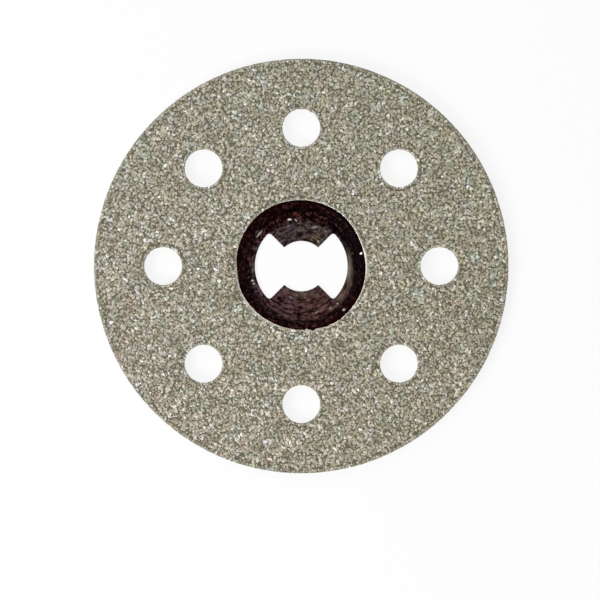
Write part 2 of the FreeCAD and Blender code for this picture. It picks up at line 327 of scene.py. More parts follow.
@dataclass(frozen=True)
class BurnishedSteel(Finish):
    """Dark burnished steel of the pressed hub: a black wall, partly painted shade, round a worn, mottled
    floor; at the top the black reaches in over the floor as a painted shadow.
    """

    black: Colour = (0.0042, 0.001, 0.001, 1.0)
    maroon: Colour = (0.014, 0.0034, 0.0036, 1.0)
    # Painted highlight: the colour of small lighter flecks on the wall.
    highlight_fleck: Colour = (0.075, 0.024, 0.025, 1.0)
    # Painted shade: a dark bluish colour laid over the wall at the upper right.
    blue_shade: Colour = (0.0015, 0.001, 0.0015, 1.0)
    dark_floor: Colour = (0.006, 0.0022, 0.0025, 1.0)
    worn_floor: Colour = (0.107, 0.081, 0.073, 1.0)
    warm: Colour = (1.12, 1.08, 0.86, 1.0)
    cold: Colour = (0.92, 0.9, 1.14, 1.0)
    rosy: Colour = (1.1, 0.78, 0.83, 1.0)
    maroon_cover: Cover = Cover(0.72, 1.0, mottle=1.0, speckle=0.6)
    highlight_fleck_cover: Cover = Cover(0.76, 0.94, mottle=0.8, speckle=0.7)
    wear_cover: Cover = Cover(1.42, 2.45, mottle=0.7, speckle=1.1, turning=1.8)
    mottle_scale: float = 2.6
    speckle_scale: float = 4.8
    patch_scale: float = 1.3
    turning_scale: Span = (5.0, 4.0)
    floor_radius: float = 4.62
    # Painted shadow: how far the dark wall colour reaches in over the floor at the top, and draws back
    # at the bottom.
    floor_shift: float = 0.58
    floor_fade: float = 0.42
    edge_mottle: float = 1.2
    edge_speckle: float = 0.6
    warm_width: float = 12.0
    patch_strength: float = 2.2
    rosy_span: Span = (0.5, -3.5)
    # Painted shade towards the upper right: its slant, where it starts and ends, and how much it dims
    # the highlight flecks.
    blue_shade_slant: float = 0.5
    blue_shade_span: Span = (0.3, 1.3)
    blue_shade_cover: float = 0.75
    highlight_fleck_span: Span = (6.2, 5.0)
    turning_relief: float = 0.7
    speckle_relief: float = 0.5
    relief: float = 0.006
    roughness: float = 0.3
    roughness_spread: float = 0.25
    mark_fray: float = 0.8
    marks: tuple[Mark, ...] = ()

    def varying(self, graph: Graph) -> dict[str, Any]:
        """Colour, roughness and fine relief.

        Args:
            graph: The material's nodes.

        Returns:
            The shader's linked inputs.
        """
        place = graph.millimetres()
        x, y, _ = graph.split(place)
        radius = (x * x + y * y) ** 0.5
        out, around = self.turning_scale
        rings = graph.join(radius * out, x.maths("ARCTAN2", y, x) * around)
        mottle = graph.noise(place, self.mottle_scale, detail=4.0, rough=0.62)
        speckle = graph.noise(place, self.speckle_scale)
        turning = graph.noise(rings, 1.0, detail=2.5)
        patches = graph.noise(place, self.patch_scale, detail=1.0)
        spot = Spot(x, y, radius, mottle, speckle, turning, patches)
        # Painted shadow: the floor's edge moves in at the top and out at the bottom, so the dark wall
        # colour covers the floor at the top.
        edge = self.floor_radius - self.floor_shift * (y / radius)
        edge = edge + (mottle - 0.5) * self.edge_mottle + (speckle - 0.5) * self.edge_speckle
        floor = radius.step(edge + self.floor_fade, edge - self.floor_fade)
        colour = graph.blend(floor, self._wall_and_painted_light(graph, spot), self._floor(graph, spot))
        flat = graph.join(x, y)
        for mark in self.marks:
            colour = graph.blend(self._mark_share(graph, flat, mark, speckle), colour, mark.colour)
        height = turning * self.turning_relief + speckle * self.speckle_relief
        bump = {"Strength": 0.35, "Distance": self.relief * MM, "Height": height}
        return {
            "Base Color": colour,
            "Roughness": self.roughness + mottle * self.roughness_spread,
            "Normal": graph.wire("ShaderNodeBump", inputs=bump),
        }

    def _floor(self, graph: Graph, spot: Spot) -> Wire:
        """The worn floor: dark steel rubbed bright, warmer on the right and rosy at the bottom.

        Args:
            graph: The material's nodes.
            spot: The place and its noises.

        Returns:
            The colour.
        """
        colour = graph.blend(self.wear_cover.share(spot), self.dark_floor, self.worn_floor)
        warmth = spot.x / self.warm_width + (spot.patches - 0.5) * self.patch_strength + 0.5
        tint = graph.blend(warmth.step(0.0, 1.0), self.cold, self.warm)
        colour = graph.blend(1.0, colour, tint, "MULTIPLY")
        rosy = graph.blend(1.0, colour, self.rosy, "MULTIPLY")
        return graph.blend(spot.y.step(*self.rosy_span), colour, rosy)

    def _wall_and_painted_light(self, graph: Graph, spot: Spot) -> Wire:
        """The recess wall: black to maroon and partly painted shade, with painted bluish shade at the
        upper right and painted highlight flecks low down.

        Args:
            graph: The material's nodes.
            spot: The place and its noises.

        Returns:
            The colour.
        """
        wall = graph.blend(self.maroon_cover.share(spot), self.black, self.maroon)
        # Painted shade: the wall turns dark and bluish towards the upper right.
        slant = spot.x / spot.radius + spot.y / spot.radius * self.blue_shade_slant
        blue = slant.step(*self.blue_shade_span)
        wall = graph.blend(blue, wall, self.blue_shade)
        # Painted highlights: small flecks on the wall, deeper in the recess, dimmed where the bluish
        # shade lies.
        highlight_flecks = self.highlight_fleck_cover.share(spot) * spot.radius.step(*self.highlight_fleck_span)
        return graph.blend(highlight_flecks * (1.0 - blue * self.blue_shade_cover), wall, self.highlight_fleck)

    def _mark_share(self, graph: Graph, flat: Wire, mark: Mark, uneven: Wire) -> Wire:
        """How much of a mark's bare metal shows.

        Args:
            graph: The material's nodes.
            flat: The place seen from above.
            mark: The mark.
            uneven: Noise that frays the mark's outline.

        Returns:
            The share, which is 0 outside the mark.
        """
        inputs = {
            "Vector": flat,
            "Location": (mark.x, mark.y, 0.0),
            "Rotation": (0.0, 0.0, math.radians(mark.turn)),
            "Scale": (mark.half_length, mark.half_width, 1.0),
        }
        local = graph.wire("ShaderNodeMapping", {"vector_type": "TEXTURE"}, inputs)
        away = graph.wire("ShaderNodeVectorMath", {"operation": "LENGTH"}, {0: local}, "Value")
        return (away + (uneven - 0.5) * self.mark_fray).step(1.0, mark.core) * mark.strength


@dataclass(frozen=True)
class DiamondGrit(Finish):
    """Crystals, each with its own tone, and with painted shade darkening each towards its foot down in
    the nickel.
    """

    colour_layer: str = "grain_colour"
    gloss_layer: str = "grain_roughness"

    def varying(self, graph: Graph) -> dict[str, Any]:
        """Each crystal's own colour and roughness.

        Args:
            graph: The material's nodes.

        Returns:
            The shader's linked inputs.
        """
        read = "ShaderNodeAttribute"
        return {
            "Base Color": graph.wire(read, {"attribute_name": self.colour_layer}),
            "Roughness": graph.wire(read, {"attribute_name": self.gloss_layer}, output="Fac"),
        }


@dataclass(frozen=True)
class PlatedNickel(Finish):
    """Nickel as it comes from the bath, cloudy and slightly pitted. The default tones are dark: painted
    shade on the nickel down between the crystals.
    """

    # Painted shade: dark default tones for the nickel between the crystals.
    dull: Colour = (0.05, 0.044, 0.025, 1.0)
    bright: Colour = (0.143, 0.13, 0.084, 1.0)
    grain: float = 12.0
    cloud_span: Span = (0.3, 0.7)
    pits_per_cloud: float = 3.0
    pit_depth: float = 0.5
    relief: float = 0.004
    roughness: float = 0.3
    roughness_spread: float = 0.3

    def varying(self, graph: Graph) -> dict[str, Any]:
        """Clouded colour, roughness and pitting.

        Args:
            graph: The material's nodes.

        Returns:
            The shader's linked inputs.
        """
        place = graph.millimetres()
        cloud = graph.noise(place, self.grain)
        pits = graph.noise(place, self.pits_per_cloud * self.grain, detail=1.0)
        height = cloud + pits * self.pit_depth
        bump = {"Strength": 0.5, "Distance": self.relief * MM, "Height": height}
        return {
            "Base Color": graph.blend(cloud.step(*self.cloud_span), self.dull, self.bright),
            "Roughness": self.roughness + pits * self.roughness_spread,
            "Normal": graph.wire("ShaderNodeBump", inputs=bump),
        }


@dataclass(frozen=True)
class WheelSizes:
    """The wheel's sizes, read from the frame where it has them."""

    rim_radius: float
    coat_top: float
    coat_bottom: float
    blank_top: float
    blank_radius: float
    hole_radius: float = 1.73
    hole_pitch_radius: float = 12.7
    hole_count: int = 8

    @classmethod
    def from_frame(cls) -> "WheelSizes":
        """Reads the boxes of the blank and its coat.

        Returns:
            The sizes in millimetres.
        """
        coat_low, coat_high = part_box("diamond_coat")
        _, blank_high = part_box("steel_core")
        return cls(
            rim_radius=coat_high.x / MM,
            coat_top=coat_high.z / MM,
            coat_bottom=coat_low.z / MM,
            blank_top=blank_high.z / MM,
            blank_radius=blank_high.x / MM,
        )

    @property
    def coat_thickness(self) -> float:
        """From the blank's face to the crystals' tips."""
        return self.coat_top - self.blank_top

    @property
    def blank_bottom(self) -> float:
        """The underside of the blank's flange."""
        return self.coat_bottom + self.coat_thickness

    def face(self, side: Side) -> float:
        """The height of the coat's face on one side."""
        return self.coat_top if side is Side.FRONT else self.coat_bottom

    def blank_face(self, side: Side) -> float:
        """The height of the blank's flange on one side."""
        return self.blank_top if side is Side.FRONT else self.blank_bottom

    def hole_centres(self) -> np.ndarray:
        """The centres of the sight holes, one row each."""
        turn = np.arange(self.hole_count) * TAU / self.hole_count
        return self.hole_pitch_radius * np.stack([np.cos(turn), np.sin(turn)], axis=1)


@dataclass(frozen=True)
class Sway:
    """How the mask was out of true: lobes round the wheel, the first at a turn."""

    lobes: int
    reach: float
    turn: float


@dataclass(frozen=True)
class Arc:
    """A stretch of the mask's edge, and how much something grows to at its middle."""

    turn: float
    half_angle: float
    reach: float

    def at(self, turn: np.ndarray) -> np.ndarray:
        """The reach at each turn, falling to 0 at both ends."""
        away = np.abs((turn - self.turn + 180.0) % 360.0 - 180.0) / self.half_angle
        return self.reach * np.cos(np.clip(away, 0.0, 1.0) * math.pi / 2.0) ** 2


@dataclass(frozen=True)
class MaskEdge:
    """Where the coat ends round the hub, because the bath's mask covered the blank there."""

    radius: float
    seed: int
    sways: tuple[Sway, ...] = ()
    notches: tuple[Arc, ...] = ()
    ragged: float = 0.007
    ripples: tuple[int, int] = (12, 90)
    ripple_limit: float = 2.0
    ragged_arcs: tuple[Arc, ...] = ()
    bare_width: float = 0.0
    bare_arcs: tuple[Arc, ...] = ()

    def radius_at(self, turn: np.ndarray) -> np.ndarray:
        """The nickel's edge.

        Args:
            turn: Degrees round the wheel.

        Returns:
            The radius at each turn.
        """
        waves = np.arange(*self.ripples)
        phase = np.random.default_rng(self.seed).uniform(0.0, TAU, len(waves))
        ripple = np.cos(np.radians(turn)[:, None] * waves + phase).sum(axis=1)
        ripple = np.clip(ripple / math.sqrt(len(waves) / 2.0), -self.ripple_limit, self.ripple_limit)
        ragged = self.ragged + sum(arc.at(turn) for arc in self.ragged_arcs)
        edge = self.radius + ragged * ripple
        for sway in self.sways:
            edge = edge + sway.reach * np.cos(np.radians(turn - sway.turn) * sway.lobes)
        return edge + sum(notch.at(turn) for notch in self.notches)

    def grit_radius_at(self, turn: np.ndarray) -> np.ndarray:
        """Where the crystals start, outside the bare nickel.

        Args:
            turn: Degrees round the wheel.

        Returns:
            The radius at each turn.
        """
        return self.radius_at(turn) + self.bare_width + sum(arc.at(turn) for arc in self.bare_arcs)


class Shell:
    """A closed mesh put together from rings of points, in millimetres."""

    def __init__(self) -> None:
        """Starts with no points and no faces."""
        self.points: list[np.ndarray] = []
        self.count = 0
        self.faces: list[tuple[int, ...]] = []
        self.smooth: list[bool] = []
        self.slots: list[int] = []

    def ring(self, points: np.ndarray) -> np.ndarray:
        """Adds a ring.

        Args:
            points: Its points in order, anticlockwise as seen from above.

        Returns:
            The numbers of its points.
        """
        self.points.append(points)
        self.count += len(points)
        return np.arange(self.count - len(points), self.count)

    def round_ring(
        self, radius: float | np.ndarray, height: float, segments: int, centre: np.ndarray
    ) -> np.ndarray:
        """Adds a level ring about a centre.

        Args:
            radius: One radius, or one for each point.
            height: Its height.
            segments: How many points it has.
            centre: Its centre in the plane.

        Returns:
            The numbers of its points.
        """
        angle = np.arange(segments) * TAU / segments
        x = centre[0] + radius * np.cos(angle)
        y = centre[1] + radius * np.sin(angle)
        return self.ring(np.stack([x, y, np.full(segments, height)], axis=1))

    def band(self, first: np.ndarray, second: np.ndarray, slot: int = 0) -> None:
        """Joins two rings, facing away from their axis where the second is the upper one.

        Args:
            first: The numbers of one ring.
            second: The numbers of the other.
            slot: The material slot of its faces.
        """
        for a, b, c, d in zip(first, np.roll(first, -1), np.roll(second, -1), second):
            self._face((a, b, c, d), True, slot)

    def flat(self, outer: np.ndarray, inner: list[np.ndarray], up: bool, slot: int = 0) -> None:
        """Fills the level space between a ring and the rings inside it.

        Args:
            outer: The numbers of the outer ring.
            inner: The numbers of each ring that it goes round.
            up: Whether the faces look up.
            slot: The material slot of its faces.
        """
        rings = [outer, *inner]
        numbers = np.concatenate(rings)
        plane = np.concatenate(self.points)[numbers][:, :2]
        starts = np.cumsum([0, *(len(r) for r in rings)])
        edges = [
            (int(start + i), int(start + (i + 1) % len(r)))
            for start, r in zip(starts, rings)
            for i in range(len(r))
        ]
        points = [Vector(p) for p in plane]
        _, _, faces, sources, _, _ = delaunay_2d_cdt(points, edges, [], 0, SAME_POINT)
        triangles = np.array([[sources[v][0] for v in face] for face in faces])
        corners = plane[triangles]
        keep = self._within(corners.mean(axis=1), plane[: len(outer)])
        for start, r in zip(starts[1:-1], inner):
            keep &= ~self._within(corners.mean(axis=1), plane[start : start + len(r)])
        side = corners[:, 1:] - corners[:, :1]
        turned = side[:, 0, 0] * side[:, 1, 1] - side[:, 0, 1] * side[:, 1, 0]
        for (a, b, c), kept, anticlockwise in zip(numbers[triangles], keep, turned > 0.0):
            if kept:
                self._face((a, b, c) if anticlockwise == up else (a, c, b), False, slot)

    def _within(self, places: np.ndarray, ring: np.ndarray) -> np.ndarray:
        """Whether each place is inside a ring that is star-shaped about its middle.

        Args:
            places: The places to test.
            ring: The ring's points in the plane, evenly turned about its middle.

        Returns:
            One truth value a place.
        """
        middle = ring.mean(axis=0)
        reach = np.hypot(*(ring - middle).T)
        offset = places - middle
        start = math.atan2(*(ring[0] - middle)[::-1])
        turn = (np.arctan2(offset[:, 1], offset[:, 0]) - start) % TAU
        at = turn / TAU * len(ring)
        limit = np.interp(at, np.arange(len(ring) + 1), np.append(reach, reach[0]))
        return np.hypot(offset[:, 0], offset[:, 1]) < limit

    def _face(self, corners: tuple[int, ...], smooth: bool, slot: int) -> None:
        """Adds a face.

        Args:
            corners: The numbers of its points.
            smooth: Whether it is shaded as part of a curve.
            slot: Its material slot.
        """
        self.faces.append(tuple(int(c) for c in corners))
        self.smooth.append(smooth)
        self.slots.append(slot)

    def mesh(self, name: str, materials: list[bpy.types.Material]) -> bpy.types.Mesh:
        """Makes the mesh.

        Args:
            name: Its name.
            materials: Its materials, by slot.

        Returns:
            The mesh in metres.
        """
        made = bpy.data.meshes.new(name)
        made.from_pydata(np.concatenate(self.points) * MM, [], self.faces, shade_flat=False)
        for material in materials:
            made.materials.append(material)
        made.polygons.foreach_set("use_smooth", self.smooth)
        made.polygons.foreach_set("material_index", self.slots)
        made.update()
        return made


def place_piece(mesh: bpy.types.Mesh) -> bpy.types.Object:
    """Puts a piece of the coat into the scene.

    Args:
        mesh: Its mesh, in the frame's own place.

    Returns:
        The object, which rides on the wheel.
    """
    piece = bpy.data.objects.new(mesh.name, mesh)
    bpy.context.scene.collection.objects.link(piece)
    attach(piece, "root")
    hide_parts("diamond_coat")
    LOG.info("%s: %d faces", piece.name, len(mesh.polygons))
    return piece


@dataclass
class PressedBlank:
    """The steel blank, which keeps its own mesh and gets its finish here."""

    finish: BurnishedSteel

    def dress(self) -> None:
        """Gives the blank the burnished finish."""
        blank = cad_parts["steel_core"]
        material = self.finish.material()
        for slot in blank.material_slots:
            slot.material = material
        LOG.info("%s: dressed, %d faces", blank.name, len(blank.data.polygons))


@dataclass
class NickelBond:
    """The plated nickel, a shell round the blank's flange and through its sight holes."""

    sizes: WheelSizes
    edges: dict[Side, MaskEdge]
    finish: PlatedNickel
    bare_finish: PlatedNickel
    sink: float = 0.07
    rim_round: float = 0.08
    hole_round: float = 0.05
    bead_round: float = 0.045
    bare_land: float = 0.03
    rim_segments: int = 720
    edge_segments: int = 720
    hole_segments: int = 96
    round_steps: int = 4

    def __post_init__(self) -> None:
        """Works out the nickel's own faces, which lie below the crystals' tips."""
        self.top = self.sizes.coat_top - self.sink
        self.bottom = self.sizes.coat_bottom + self.sink
        self.radius = self.sizes.rim_radius - self.sink
        self.hole_radius = self.sizes.hole_radius + self.sink
        self.lined_hole_radius = self.sizes.hole_radius + self.sizes.coat_thickness

    def build(self) -> bpy.types.Object:
        """Builds the shell.

        Returns:
            The piece.
        """
        shell = Shell()
        axis = np.zeros(2)
        turn = np.arange(self.edge_segments) * 360.0 / self.edge_segments
        rim = self._rounded(shell, self.radius, axis, self.rim_segments, self.rim_round, 1.0)
        holes = [
            self._rounded(shell, self.hole_radius, c, self.hole_segments, self.hole_round, -1.0)
            for c in self.sizes.hole_centres()
        ]
        levels = (self.sizes.blank_bottom, self.sizes.blank_top)
        inner_rim = [
            shell.round_ring(self.sizes.blank_radius, z, self.rim_segments, axis) for z in levels
        ]
        inner_holes = [
            [shell.round_ring(self.lined_hole_radius, z, self.hole_segments, c) for z in levels]
            for c in self.sizes.hole_centres()
        ]
        for lower, upper in zip(rim, rim[1:]):
            shell.band(lower, upper)
        shell.band(inner_rim[1], inner_rim[0])
        for rings, lined in zip(holes, inner_holes):
            for lower, upper in zip(rings, rings[1:]):
                shell.band(upper, lower)
            shell.band(lined[0], lined[1])
        for side in Side:
            front = side is Side.FRONT
            end = -1 if front else 0
            bead = self._bead(shell, side, turn)
            for inner, outer in zip(bead, bead[1:]):
                pair = (outer, inner) if front else (inner, outer)
                shell.band(*pair, slot=1)
            shell.flat(rim[end], [bead[-1], *(h[end] for h in holes)], up=front)
            shell.flat(inner_rim[end], [bead[0], *(h[end] for h in inner_holes)], up=not front)
        mesh = shell.mesh("nickel_bond", [self.finish.material(), self.bare_finish.material()])
        return place_piece(mesh)

    def _rounded(
        self,
        shell: Shell,
        radius: float,
        centre: np.ndarray,
        segments: int,
        corner: float,
        outward: float,
    ) -> list[np.ndarray]:
        """Adds the rings of a wall with rounded corners, from the back to the front.

        Args:
            shell: The mesh that gets them.
            radius: The wall's radius.
            centre: Its centre in the plane.
            segments: Points to a ring.
            corner: The radius of its corners.
            outward: 1 for a rim, and -1 for a hole, whose corners open outwards.

        Returns:
            The rings' numbers.
        """
        quarter = np.linspace(0.0, math.pi / 2.0, self.round_steps)
        profile = [
            (radius - outward * corner * (1.0 - math.cos(a)), self.top - corner * (1.0 - math.sin(a)))
            for a in quarter
        ]
        mirrored = [(r, self.bottom + self.top - height) for r, height in reversed(profile)]
        return [
            shell.round_ring(r, height, segments, centre) for r, height in [*mirrored, *profile]
        ]

    def _bead(self, shell: Shell, side: Side, turn: np.ndarray) -> list[np.ndarray]:
        """Adds the rings of the nickel's rounded edge at the mask, from the blank outwards.

        Args:
            shell: The mesh that gets them.
            side: The face of the wheel.
            turn: Degrees round the wheel of each point.

        Returns:
            The rings' numbers.
        """
        edge = self.edges[side].radius_at(turn)
        foot = self.sizes.blank_face(side)
        crown = self.top if side is Side.FRONT else self.bottom
        rise = side.value * (abs(crown - foot) - self.bead_round)
        rings = [shell.round_ring(edge, foot, len(turn), np.zeros(2))]
        for a in np.linspace(0.0, math.pi / 2.0, self.round_steps):
            radius = edge + self.bead_round * (1.0 - math.cos(a))
            height = foot + rise + side.value * self.bead_round * math.sin(a)
            rings.append(shell.round_ring(radius, height, len(turn), np.zeros(2)))
        land = self.edges[side].grit_radius_at(turn) + self.bead_round + self.bare_land
        rings.append(shell.round_ring(land, crown, len(turn), np.zeros(2)))
        return rings


@dataclass
class Bed:
    """Spots on the coat's outer surface: place, the way out and a way along, a row each."""

    place: np.ndarray
    out: np.ndarray
    along: np.ndarray

    @classmethod
    def joined(cls, beds: list["Bed"]) -> "Bed":
        """One bed of several."""
        stack = [np.concatenate([getattr(b, name) for b in beds]) for name in ("place", "out", "along")]
        return cls(*stack)

    def __len__(self) -> int:
        """How many crystals it holds."""
        return len(self.place)


def wave_field(places: np.ndarray, length: float, seed: int) -> np.ndarray:
    """Smooth random patches over the wheel.

    Args:
        places: Where they are read, in millimetres.
        length: About how far it is from one patch to the next.
        seed: The seed of their layout.

    Returns:
        A number a place, with a mean of 0 and a spread of 1.
    """
    rng = np.random.default_rng(seed)
    waves = 40
    slowest, fastest = 0.7, 1.4
    ways = rng.normal(size=(waves, 3))
    ways *= (TAU / length * rng.uniform(slowest, fastest, waves) / np.linalg.norm(ways, axis=1))[:, None]
    phase = rng.uniform(0.0, TAU, waves)
    return np.cos(places @ ways.T + phase).sum(axis=1) / math.sqrt(waves / 2.0)


@dataclass
class CoatOutline:
    """The coat's outer form, which no crystal stands out of."""

    sizes: WheelSizes
    edge: MaskEdge | None = None

    def trim(self, points: np.ndarray) -> None:
        """Brings corners that stand out of the coat back to its surface.

        Args:
            points: The crystals' corners in millimetres, which are changed.
        """
        points[..., 2] = np.clip(points[..., 2], self.sizes.coat_bottom, self.sizes.coat_top)
        flat = points[..., :2]
        reach = np.hypot(flat[..., 0], flat[..., 1])
        flat /= np.maximum(reach / self.sizes.rim_radius, 1.0)[..., None]
        if self.edge is not None:
            turn = np.degrees(np.arctan2(flat[..., 1], flat[..., 0]))
            limit = self.edge.grit_radius_at(turn.ravel()).reshape(turn.shape)
            flat *= np.maximum(limit / reach, 1.0)[..., None]
        for centre in self.sizes.hole_centres():
            away = np.hypot(*np.moveaxis(flat - centre, -1, 0))
            stretch = np.maximum(self.sizes.hole_radius / away, 1.0)[..., None]
            flat[:] = centre + (flat - centre) * stretch


@dataclass
class CrystalLayer:
    """One layer of diamond crystals, each a closed, uneven octahedron in the nickel."""

    name: str
    finish: DiamondGrit
    bed: Bed
    seed: int
    outline: CoatOutline
    stand_off: float = 0.005
    half_width: float = 0.232
    slimness: float = 0.3
    uneven: float = 0.35
    size_spread: float = 0.22
    lowest_tip: float = 0.04
    colour: tuple[float, float, float] = (0.502, 0.472, 0.379)
    greying: tuple[float, float, float] = (0.95, 1.0, 1.3)
    tone_spread: float = 0.335
    tint_spread: Span = (0.047, 0.058)
    patch_tone: float = 0.03
    patch_lengths: tuple[float, float, float] = (1.6, 1.5, 1.5)
    patch_seeds: tuple[int, int, int] = (11, 12, 13)
    red_drift: Span = (-0.01, -0.025)
    blue_drift: float = 0.03
    red_gain: float = 0.6
    red_loss: float = 0.4
    # Painted shade at the crystals' feet: the colour left at the foot, and how steeply it comes back
    # towards the tip.
    foot_shade: float = 0.09
    foot_fall: float = 2.6
    roughness: Span = (0.4, 0.7)
    cell_half_width: float = 0.35
    cell_foot: float = 0.15
    cell_height: float = 0.7

    def __post_init__(self) -> None:
        """Works out how deep the crystals stand in the coat."""
        self.depth = self.outline.sizes.coat_thickness - self.stand_off

    def build(self) -> bpy.types.Object:
        """Grows the crystals.

        Returns:
            The piece.
        """
        rng = np.random.default_rng(self.seed)
        local = self._shapes(rng)
        across = np.cross(self.bed.out, self.bed.along)
        points = (
            self.bed.place[:, None]
            + local[..., 0:1] * self.bed.along[:, None]
            + local[..., 1:2] * across[:, None]
            + local[..., 2:3] * self.bed.out[:, None]
        )
        self.outline.trim(points)
        faces = (np.arange(len(self.bed))[:, None, None] * len(TIPS) + TIP_FACES).reshape(-1, 3)
        mesh = bpy.data.meshes.new(self.name)
        mesh.from_pydata(points.reshape(-1, 3) * MM, [], faces)
        mesh.materials.append(self.finish.material())
        share = 1.0 + local[..., 2] / self.depth
        self._paint(mesh, rng, share)
        self._lay_out(mesh, faces, local, share)
        return place_piece(mesh)

    def _shapes(self, rng: np.random.Generator) -> np.ndarray:
        """Turns and stretches an octahedron for each crystal.

        Args:
            rng: The source of its random numbers.

        Returns:
            For each crystal, six corners: along, across and out from its spot.
        """
        count = len(self.bed)
        reach = rng.uniform(1.0 - self.uneven, 1.0 + self.uneven, (count, len(TIPS)))
        spin = rng.normal(size=(count, 4))
        w, x, y, z = (spin / np.linalg.norm(spin, axis=1, keepdims=True)).T
        rows = [
            [1 - 2 * (y * y + z * z), 2 * (x * y - w * z), 2 * (x * z + w * y)],
            [2 * (x * y + w * z), 1 - 2 * (x * x + z * z), 2 * (y * z - w * x)],
            [2 * (x * z - w * y), 2 * (y * z + w * x), 1 - 2 * (x * x + y * y)],
        ]
        turned = np.einsum("ijn,nkj->nki", np.array(rows), TIPS * reach[..., None])
        slim = np.array([1.0, 1.0 - self.slimness])
        flat = (turned[..., :2] - turned[..., :2].mean(axis=1, keepdims=True)) * slim
        way = rng.uniform(0.0, TAU, count)
        turn = np.array([[np.cos(way), -np.sin(way)], [np.sin(way), np.cos(way)]])
        flat = np.einsum("ijn,nkj->nki", turn, flat)
        width = np.linalg.norm(flat, axis=2).max(axis=1)
        size = self.half_width * (1.0 + self.size_spread * rng.uniform(-1.0, 1.0, count))
        low = turned[..., 2].min(axis=1, keepdims=True)
        high = turned[..., 2].max(axis=1, keepdims=True)
        tip = -self.lowest_tip * rng.uniform(0.0, 1.0, (count, 1)) ** 2
        out = -self.depth + (turned[..., 2] - low) / (high - low) * (self.depth + tip)
        return np.concatenate([flat * (size / width)[:, None, None], out[..., None]], axis=2)

    def _paint(self, mesh: bpy.types.Mesh, rng: np.random.Generator, share: np.ndarray) -> None:
        """Writes each crystal's colour, with painted shade towards its foot, and its roughness on its
        corners.

        Args:
            mesh: The mesh.
            rng: The source of its random numbers.
            share: How far each corner stands from the blank to the coat's surface.
        """
        place = self.bed.place
        across, along, _ = (place / self.outline.sizes.rim_radius).T
        patches = [wave_field(place, *kind) for kind in zip(self.patch_lengths, self.patch_seeds)]
        tone = self.tone_spread * rng.normal(size=len(place)) + self.patch_tone * patches[0]
        red = self.tint_spread[0] * patches[1]
        red += self.red_drift[0] * across + self.red_drift[1] * along
        blue = self.tint_spread[1] * patches[2] + self.blue_drift * across
        loss = -self.red_loss * red
        tint = np.exp(np.stack([self.red_gain * red, loss, loss - blue], axis=1))
        # Painted shade: corners low in the coat are darkened and the tips keep their colour; light is
        # the crystal's tone times this shade.
        shade = self.foot_shade + (1.0 - self.foot_shade) * share.clip(0.0) ** self.foot_fall
        light = np.exp(tone)[:, None] * shade
        rgba = np.ones((*share.shape, 4))
        rgba[..., :3] = self.colour * tint[:, None] * light[..., None] ** self.greying
        colour = mesh.attributes.new(self.finish.colour_layer, "FLOAT_COLOR", "POINT")
        colour.data.foreach_set("color", rgba.ravel())
        rough = np.repeat(rng.uniform(*self.roughness, len(place)), share.shape[1])
        gloss = mesh.attributes.new(self.finish.gloss_layer, "FLOAT", "POINT")
        gloss.data.foreach_set("value", rough)

    def _lay_out(
        self, mesh: bpy.types.Mesh, faces: np.ndarray, local: np.ndarray, share: np.ndarray
    ) -> None:
        """Gives each crystal a cell of its own in the UV map.

        Args:
            mesh: The mesh.
            faces: The faces' corners.
            local: Each crystal's corners: along, across and out from its spot.
            share: How far each corner stands from the blank to the coat's surface.
        """
        columns = math.ceil(math.sqrt(len(local)))
        number = np.arange(len(local))
        across = local[..., 0] / np.abs(local[..., 0]).max(axis=1, keepdims=True)
        u = (number % columns)[:, None] + 0.5 + self.cell_half_width * across
        v = (number // columns)[:, None] + self.cell_foot + self.cell_height * share
        cells = np.stack([u, v], axis=2).reshape(-1, 2) / columns
        mesh.uv_layers.new(name="OFBake").uv.foreach_set("vector", cells[faces.ravel()].ravel())


